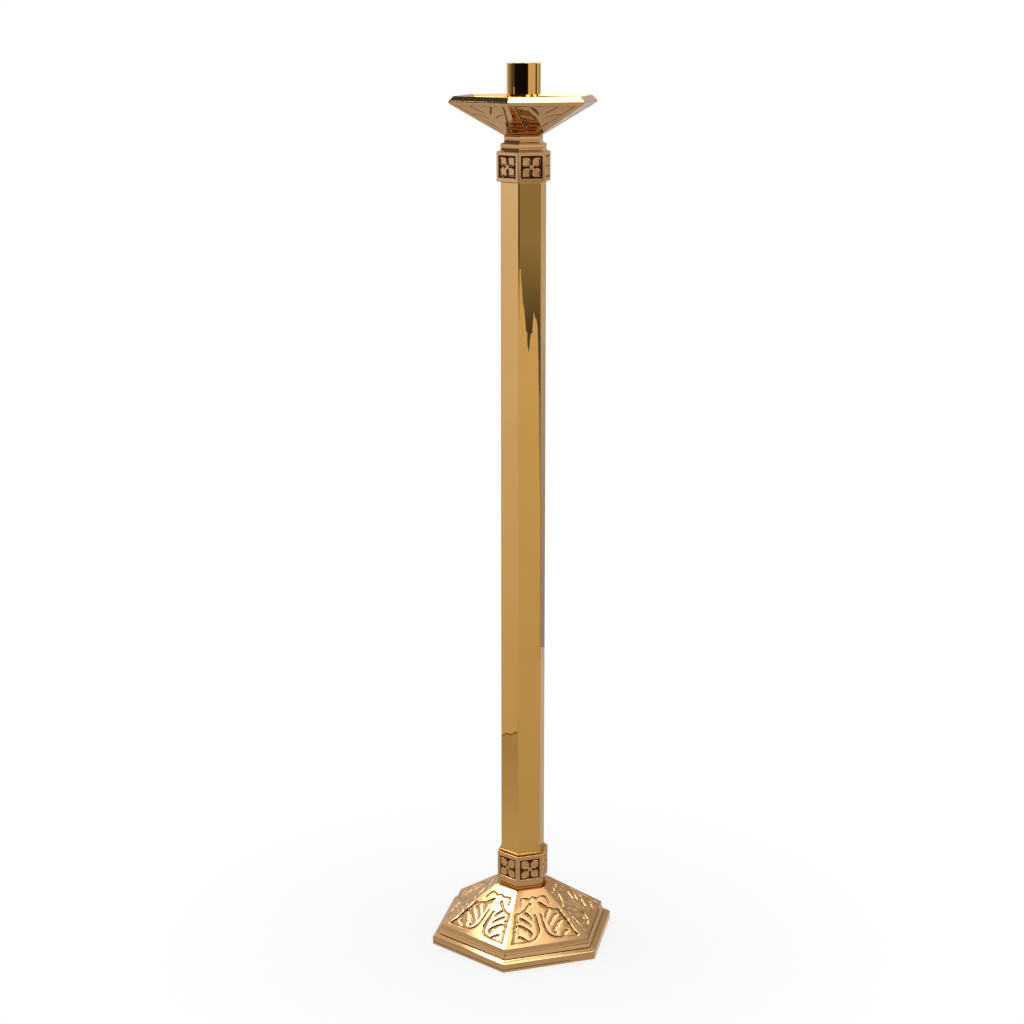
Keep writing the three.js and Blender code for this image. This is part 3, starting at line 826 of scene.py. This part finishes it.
def brass(name, light, deep, gloss, waviness, lacquer, patina=0.0, patina_from=0.42):
    """Polished and lacquered brass: faint changes of tone and gloss, waviness and dark recesses.
    The patina starts at a share of the carving's depth."""
    finish = Finish(name)
    finish.set({"Metallic": 1, "Specular Tint": BRASS_EDGE_TINT})
    finish.set({"Coat Weight": lacquer, "Coat Roughness": LACQUER_ROUGHNESS})
    clouds = finish.ramp(finish.noise(TONE_SCALE, 3), NOISE_LOW, NOISE_HIGH, 0, 0.5)
    tone = finish.mix(clouds, light, deep)
    rough = finish.ramp(finish.noise(GLOSS_SCALE, 4), WIDE_LOW, WIDE_HIGH, gloss, 1.5 * gloss)
    if patina:
        recess = finish.attribute("recess")
        full = patina_from + PATINA_SPREAD
        tone = finish.mix(finish.ramp(recess, patina_from, full, 0, patina), tone, PATINA)
        dullness = finish.ramp(recess, patina_from, full, 0, PATINA_ROUGHNESS * patina)
        rough = finish.maths("ADD", rough, dullness)
    finish.set({"Base Color": tone, "Roughness": rough})
    finish.bump(finish.noise(WAVE_SCALE, 1.5), WAVE_HEIGHT, waviness)
    return finish.material


def plated_steel():
    """Zinc-plated steel with a cloudy, fine-brushed face."""
    finish = Finish("zinc_steel")
    cloud = finish.ramp(finish.noise(scale=70, detail=4), NOISE_LOW, NOISE_HIGH, 0, 1)
    tone = finish.mix(cloud, STEEL, shaded(STEEL, 0.8))
    finish.set({"Metallic": 1, "Base Color": tone, "Roughness": finish.ramp(cloud, 0, 1, 0.3, 0.45)})
    lines = finish.noise(scale=1500, detail=2, stretch=BRUSHED)
    finish.bump(lines, distance=0.0002, strength=0.1)
    return finish.material


def cast_iron():
    """Black sand-cast iron with a pitted skin."""
    finish = Finish("cast_iron")
    grain = finish.noise(scale=700, detail=6)
    tone = finish.mix(grain, IRON, shaded(IRON, 2.2))
    finish.set({"Base Color": tone, "Roughness": finish.ramp(grain, WIDE_LOW, WIDE_HIGH, 0.7, 0.95)})
    finish.bump(grain, distance=0.0006, strength=0.6)
    return finish.material


def pressed_fibres(name, colour, scale, depth):
    """Felt or fibre sheet: tangled strands that change the tone and stand a little proud."""
    finish = Finish(name)
    strands = finish.noise(scale, detail=8)
    tone = finish.mix(strands, shaded(colour, 0.6), shaded(colour, 1.5))
    finish.set({"Base Color": tone, "Roughness": 0.95, "Sheen Weight": 0.3})
    finish.bump(strands, depth, strength=0.7)
    return finish.material


cast = brass("brass_cast", *CAST_BRASS, gloss=0.04, waviness=0.05, lacquer=0.4, patina=0.2)
pan_brass = brass("brass_pan", *CAST_BRASS, gloss=0.04, waviness=0.05, lacquer=0.4,
                  patina=0.8, patina_from=0.22)
flowered = brass("brass_flowered", *CAST_BRASS, gloss=0.08, waviness=0.05, lacquer=0, patina=1)
fitting = brass("brass_fitting", *CAST_BRASS, gloss=0.02, waviness=0.01, lacquer=0.2)
drawn = brass("brass_drawn", *DRAWN_BRASS, gloss=0.006, waviness=0.008, lacquer=0.3)
steel = plated_steel()

# New pieces and their finishes, by the CAD node that each stands for
NEW_PIECES = {
    "base": (base_piece(), cast),
    "foot_ring_wide": (ring_piece("foot_ring_wide", RING_ROUND), drawn),
    "foot_ring_narrow": (ring_piece("foot_ring_narrow", RING_ROUND), drawn),
    "lower_collar": (collar_piece("lower_collar", LOWER_PANEL_MIDDLE), flowered),
    "bead_ring": (ring_piece("bead_ring", BEAD_ROUND, BEAD_ROUND), drawn),
    "shaft": (shaft_piece(), drawn),
    "upper_collar": (collar_piece("upper_collar", UPPER_PANEL_MIDDLE), flowered),
    "neck_ring_wide": (neck_ring_piece("neck_ring_wide"), fitting),
    "neck_ring_narrow": (neck_ring_piece("neck_ring_narrow"), fitting),
    "drip_pan": (pan_piece(), pan_brass),
    "candle_socket": (socket_piece(), drawn),
}
for node, (piece, finish) in NEW_PIECES.items():
    piece.data.materials.append(finish)
    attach(piece, "root")
    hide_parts(node)

# CAD nodes that stay and aren't steel
NODE_FINISHES = {
    "shaft_lower_plug": drawn, "shaft_upper_plug": drawn, "socket_plug": drawn,
    "base_weight": cast_iron(),
    "felt_pad": pressed_fibres("felt", FELT, scale=900, depth=0.0008),
    "socket_gasket": pressed_fibres("fibre", FIBRE, scale=600, depth=0.0002),
}
for name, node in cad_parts.items():
    finish = NODE_FINISHES.get(name, steel)
    if node.material_slots:
        node.material_slots[0].material = finish
    else:
        node.data.materials.append(finish)


# Studio: places in metres, azimuths in degrees from +X towards +Y, and glow where 1 is white

AMBIENT = 0.55
FLOOR_REACH = 40
FLOOR_TONE = (0.85, 0.85, 0.85)
FLOOR_BELOW = 0.0005
SHADOW_START = 0.1
SHADOW_REACH = 0.5
SHADOW_KEPT = 0.22
LAMP_HEIGHT = 2.4
LAMP_RADIANCE = 6
LAMP_GLOW = 11
ROOM_DISTANCE = 4.3
WALL_PLACE = 5
UP = (0, 0, 1)
# The floor's glow and its cooler colour change with the logarithm of the distance in metres
GLOW_FROM, GLOW_TO = -0.5, 1.2
COOL_FROM, COOL_TO = -0.05, 1.1
FAR_FLOOR_TINT = (1, 1.09, 1.75)


def seen_directly(tree):
    """1 for camera, glossy and transmission rays and 0 for the others."""
    rays = tree.nodes.new("ShaderNodeLightPath").outputs
    most = tree.maths("MAXIMUM", rays["Is Camera Ray"], rays["Is Glossy Ray"])
    return tree.maths("MAXIMUM", most, rays["Is Transmission Ray"])


def white_world():
    """White ground for the camera and in reflections, and a plain level of light from all round."""
    world = bpy.data.worlds.new("studio")
    world.use_nodes = True
    tree = NodeTree(world.node_tree)
    strength = tree.ramp(seen_directly(tree), 0, 1, AMBIENT, 1)
    tree.feed(tree.nodes["Background"], {"Color": (1, 1, 1), "Strength": strength})
    bpy.context.scene.world = world


def rectangle(left, right, front, back, height):
    """Corners of a level rectangle."""
    return [(left, front, height), (right, front, height), (right, back, height), (left, back, height)]


def pale_floor():
    """White floor that keeps a light shadow close to the candlestick."""
    mesh = bpy.data.meshes.new("floor")
    mesh.from_pydata(rectangle(-FLOOR_REACH, FLOOR_REACH, -FLOOR_REACH, FLOOR_REACH, 0), [], [(0, 1, 2, 3)])
    floor = new_object("floor", mesh)
    finish = Finish("floor_white")
    finish.set({"Base Color": FLOOR_TONE, "Roughness": 0.9})
    near = finish.ramp(finish.distance(), SHADOW_START, SHADOW_REACH, SHADOW_KEPT, 0)
    white = finish.maths("SUBTRACT", seen_directly(finish), near)
    white.node.use_clamp = True
    glow = finish.nodes.new("ShaderNodeEmission")
    mix = finish.nodes.new("ShaderNodeMixShader")
    finish.feed(mix, {0: white, 1: finish.shader.outputs[0], 2: glow.outputs[0]})
    finish.show(mix)
    mesh.materials.append(finish.material)
    floor.location.z = -FLOOR_BELOW


def softbox(name, centre, size):
    """Rectangular lamp that faces down. Reflections see a card there instead."""
    light = bpy.data.lights.new(name, "AREA")
    light.shape = "RECTANGLE"
    light.size, light.size_y = size
    light.energy = LAMP_RADIANCE * math.pi * size[0] * size[1]
    lamp = new_object(name, light)
    lamp.location = (*centre, LAMP_HEIGHT)
    lamp.visible_camera = lamp.visible_glossy = False


def card(name, corners, glow, tint=None):
    """Flat card of the studio that only reflections see. Its glow is a level of grey, or a function
    that builds one from the card's finish. The tint is such a function for its colour."""
    mesh = bpy.data.meshes.new(name)
    mesh.from_pydata(corners, [], [tuple(range(len(corners)))])
    panel = new_object(name, mesh)
    finish = Finish(name)
    light = finish.nodes.new("ShaderNodeEmission")
    finish.feed(light, {"Strength": glow(finish) if callable(glow) else glow})
    if tint:
        finish.feed(light, {"Color": tint(finish)})
    finish.show(light)
    mesh.materials.append(finish.material)
    panel.visible_camera = panel.visible_diffuse = panel.visible_shadow = panel.visible_transmission = False


def fading(direction, start, end, start_level, end_level):
    """Level that changes between two distances along a direction."""
    def build(finish):
        along = finish.nodes.new("ShaderNodeVectorMath")
        along.operation = "DOT_PRODUCT"
        along.inputs[1].default_value = direction
        finish.links.new(finish.place, along.inputs[0])
        return finish.ramp(along.outputs["Value"], start, end, start_level, end_level)

    return build


def log_distance(finish):
    """Logarithm of the distance from the candlestick in metres."""
    return finish.maths("LOGARITHM", finish.distance(), 10)


def floor_level(near, far):
    """Level of the floor in reflections, which changes with the distance from the candlestick."""
    return lambda finish: finish.ramp(log_distance(finish), GLOW_FROM, GLOW_TO, near, far)


def cool_distance(finish):
    """Colour of the floor in reflections that turns cooler with the distance."""
    share = finish.ramp(log_distance(finish), COOL_FROM, COOL_TO, 0, 1)
    return finish.mix(share, (1, 1, 1), FAR_FLOOR_TINT)


def along_ray(azimuth, distance, aside, height):
    """Place at a distance from the candlestick, moved aside to the left as seen from it."""
    a = math.radians(azimuth)
    x = distance * math.cos(a) - aside * math.sin(a)
    y = distance * math.sin(a) + aside * math.cos(a)
    return (x, y, height)


def standing_card(name, azimuths, distance, heights, glow, steps):
    """Curved card round the candlestick between two azimuths, in flat stretches."""
    low, high = heights
    angles = np.radians(np.linspace(*azimuths, steps + 1))
    for i, pair in enumerate(zip(angles, angles[1:])):
        (x0, y0), (x1, y1) = [(distance * math.cos(t), distance * math.sin(t)) for t in pair]
        card(f"{name}_{i}", [(x0, y0, low), (x1, y1, low), (x1, y1, high), (x0, y0, high)], glow)


# Lamps: centre and size
LAMPS = {
    "left_softbox": ((-1.67, 0.4), (0.64, 1.6)),
    "top_softbox": ((0.4, 0.1), (0.6, 0.8)),
}

# Edges that cards over the candlestick share
LEFT_END = -1.38
LIGHT_LEFT, LIGHT_RIGHT, LIGHT_BACK = 0.1, 0.64, 0.36
CREAM_RIGHT, TAN_RIGHT, CEILING_RIGHT = 0.72, 0.782, 1.3
CEILING_FRONT, CEILING_BACK = -0.14, 0.6

# Light at the left, a triangle at the lamps' height
LEFT_LIGHT = [(-2.22, 0.1, LAMP_HEIGHT), (LEFT_END, 0.1, LAMP_HEIGHT), (LEFT_END, 1.27, LAMP_HEIGHT)]
LEFT_LIGHT_GLOW = fading((1, -0.725, 0), -2.28, -2.14, 0.8, LAMP_GLOW)

# Level cards at the lamps' height: left, right, front and back edge, and glow
OVERHEAD = {
    "dark_left": (-2.7, LEFT_END, -0.8, 0.1, 0.1),
    "top_light": (LIGHT_LEFT, LIGHT_RIGHT, -0.3, LIGHT_BACK, LAMP_GLOW),
    "top_light_edge": (LIGHT_RIGHT, CREAM_RIGHT, -0.3, LIGHT_BACK,
                       fading((1, 0, 0), LIGHT_RIGHT, CREAM_RIGHT, LAMP_GLOW, 1)),
    "cream_ceiling": (LIGHT_LEFT, CREAM_RIGHT, LIGHT_BACK, CEILING_BACK, 1.7),
    "rim_light": (-0.95, LIGHT_LEFT, 0.3, 1, 5),
    "tan_ceiling": (CREAM_RIGHT, TAN_RIGHT, CEILING_FRONT, CEILING_BACK, 0.85),
    "front_ceiling": (CREAM_RIGHT, CEILING_RIGHT, -0.5, CEILING_FRONT, 4),
    "right_ceiling": (TAN_RIGHT, CEILING_RIGHT, CEILING_FRONT, CEILING_BACK,
                      fading((1, 0.8, 0), 0.74, 0.98, 3, 0.8)),
}
# Dark ceiling a little above the other cards
DARK_CEILING = (LEFT_END, 1.9, -1.7, 2, LAMP_HEIGHT + 0.05)
DARK_CEILING_GLOW = 0.1

# Standing cards: azimuths, distance, heights, glow and number of flat stretches
STANDING = {
    "dark_room": ((-144, -48.5), ROOM_DISTANCE, (0.2, 3.2), fading(UP, 0.2, 0.46, 0.9, 0.01), 12),
    "brown_room": ((-167, -144), ROOM_DISTANCE, (0.99, 1.2), 0.12, 6),
    "high_room": ((-185, -144), ROOM_DISTANCE, (2.6, 4.2), 0.08, 6),
    "left_board": ((-172, -150), 1, (1, 1.42), 0.12, 3),
    "grey_room": ((-205, -167), ROOM_DISTANCE, (0.96, 1.2), 0.4, 6),
    "dark_stand": ((8, 22), ROOM_DISTANCE, (0.9, 1.3), 0.06, 2),
    "dark_post": ((-20, -2), 1.2, (0, 0.62), 0.1, 1),
}

# Cards just above the floor: left, right, front and back edge, height and glow
FLOOR_CARDS = {
    "floor_tone": (-16, 16, -16, 16, 0.001, floor_level(0.7, 1.03)),
    "back_floor": (-6, 6, 0.25, WALL_PLACE, 0.002, floor_level(0.6, 0.85)),
    "right_floor": (0.1, 3, 1.2, WALL_PLACE, 0.003, fading((0, 1, 0), 1.2, WALL_PLACE, 0.38, 0.57)),
}
# Strip of floor at the left: height, corners as distance and how far aside, and glow
LEFT_FLOOR_HEIGHT = 0.002
LEFT_FLOOR = [(0.6, -0.4), (16, -3.5), (16, 3.5), (0.6, 0.4)]
LEFT_FLOOR_GLOW = floor_level(0.735, 1.1)

# Walls behind the candlestick: left and right edge, lower and upper edge, and glow
WALLS = {
    "back_wall": (-3, 6, 0, 2.6, 0.62),
    "back_light": (-6, 6, 2.7, 5, 3),
}

# Sheet on the floor at the left: its direction, ends, half width, and its far edge's slant and waves
SHEET_AZIMUTH = 198.2
SHEET_START = -0.05
SHEET_REACH = 0.768
SHEET_HALF = 0.5
SHEET_MIDDLE = 0.017
SHEET_SLANT = 0.36
SHEET_WAVE = 0.0045
SHEET_WAVE_LENGTH = 0.0024
# Where along the edge its waves are drawn, and with how many points
WAVES_FROM, WAVES_TO, WAVE_POINTS = -0.03, 0.07, 121
# The sheet and its shadow: how far the edge lies beyond the sheet's, height above the floor and glow
SHEET_CARDS = {
    "sheet_shadow": (0.009, 0.003, 0.2),
    "sheet": (0, 0.004, floor_level(0.74, 0.1)),
}

# Curtain at the right front and its hem: direction, distance, heights, and glow where each is paler
CURTAIN_AZIMUTH = -41.2
CURTAIN_DISTANCE = 2.5
CURTAIN_TOP = 0.84
CURTAIN_GLOW = 0.12
PALE_FROM, PALE_TO = 0.44, 0.66
PALE_GLOW = 0.44
HEM_TOP = 0.296
HEM_FOOT = 0.02
HEM_GLOW = 0.8
# Torn lower edge of the curtain and corners of the hem beside it: how far aside and how high
CURTAIN_TEAR = [(-0.6, 0.6), (-0.0315, 0.59), (-0.0285, 0.529), (-0.0256, 0.504), (-0.0225, 0.487),
                (-0.0190, 0.434), (-0.0157, 0.431), (-0.0150, 0.404), (-0.0124, 0.382), (-0.0093, 0.396),
                (-0.0084, 0.414), (-0.0068, 0.426), (-0.0027, 0.430), (-0.0018, 0.448), (0.001, 0.483),
                (0.0040, 0.469), (0.0072, 0.464), (0.0095, 0.448), (0.0118, 0.394), (0.0142, HEM_TOP),
                (0.4, HEM_TOP)]
CURTAIN_HEM = [(0.0142, HEM_TOP), (0.0152, HEM_FOOT), (0.4, HEM_FOOT), (0.4, HEM_TOP)]


def left_floor():
    """Strip of floor at the left that widens with the distance and turns cooler."""
    corners = [along_ray(SHEET_AZIMUTH, *corner, LEFT_FLOOR_HEIGHT) for corner in LEFT_FLOOR]
    card("left_floor", corners, LEFT_FLOOR_GLOW, cool_distance)


def sheet_edge(aside):
    """Distance of the sheet's slanted and wavy edge from the candlestick."""
    wave = SHEET_WAVE * math.sin(aside / SHEET_WAVE_LENGTH)
    return SHEET_REACH + SHEET_SLANT * (aside - SHEET_MIDDLE) - wave


def paper_sheet():
    """Darker sheet on the floor at the left, with a wavy edge and a shadow along it."""
    edge = [-SHEET_HALF, *np.linspace(WAVES_FROM, WAVES_TO, WAVE_POINTS), SHEET_HALF]
    for name, (beyond, height, glow) in SHEET_CARDS.items():
        wavy = [along_ray(SHEET_AZIMUTH, sheet_edge(aside) + beyond, aside, height) for aside in edge]
        near = [along_ray(SHEET_AZIMUTH, SHEET_START, aside, height) for aside in (SHEET_HALF, -SHEET_HALF)]
        card(name, [*wavy, *near], glow)


def curtain_corners(outline):
    """Places on the curtain of points given by how far aside and how high they are."""
    return [along_ray(CURTAIN_AZIMUTH, CURTAIN_DISTANCE, aside, height) for aside, height in outline]


def dark_curtain():
    """Dark curtain at the right front with a torn edge, paler above, and its hem, paler at the foot."""
    top = [(CURTAIN_TEAR[-1][0], CURTAIN_TOP), (CURTAIN_TEAR[0][0], CURTAIN_TOP)]
    glow = fading(UP, PALE_FROM, PALE_TO, CURTAIN_GLOW, PALE_GLOW)
    card("curtain", curtain_corners(CURTAIN_TEAR + top), glow)
    glow = fading(UP, HEM_FOOT, HEM_TOP, HEM_GLOW, CURTAIN_GLOW)
    card("curtain_hem", curtain_corners(CURTAIN_HEM), glow)


white_world()
pale_floor()
for name, (centre, size) in LAMPS.items():
    softbox(name, centre, size)
card("left_light", LEFT_LIGHT, LEFT_LIGHT_GLOW)
for name, (*edges, glow) in OVERHEAD.items():
    card(name, rectangle(*edges, LAMP_HEIGHT), glow)
card("dark_ceiling", rectangle(*DARK_CEILING), DARK_CEILING_GLOW)
for name, row in STANDING.items():
    standing_card(name, *row)
for name, (*edges, height, glow) in FLOOR_CARDS.items():
    card(name, rectangle(*edges, height), glow)
left_floor()
for name, (left, right, low, high, glow) in WALLS.items():
    corners = [(left, low), (right, low), (right, high), (left, high)]
    card(name, [(x, WALL_PLACE, height) for x, height in corners], glow)
paper_sheet()
dark_curtain()


def aim_camera():
    """Camera at the photograph's place, tilted down so that its shift stays small."""
    camera = new_object("camera", bpy.data.cameras.new("camera"))
    camera.data.lens = FOCAL_LENGTH
    camera.data.sensor_width = SENSOR_WIDTH
    camera.data.shift_y = CAMERA_SHIFT
    camera.data.clip_end = FARTHEST_SEEN
    camera.location = CAMERA_PLACE
    turn, tilt = math.radians(CAMERA_TURN), math.radians(CAMERA_TILT)
    forward = Vector((math.sin(turn) * math.cos(tilt), math.cos(turn) * math.cos(tilt), -math.sin(tilt)))
    camera.rotation_mode = "QUATERNION"
    camera.rotation_quaternion = forward.to_track_quat("-Z", "Y")
    bpy.context.scene.camera = camera


aim_camera()
bpy.context.scene.view_settings.view_transform = "Standard"
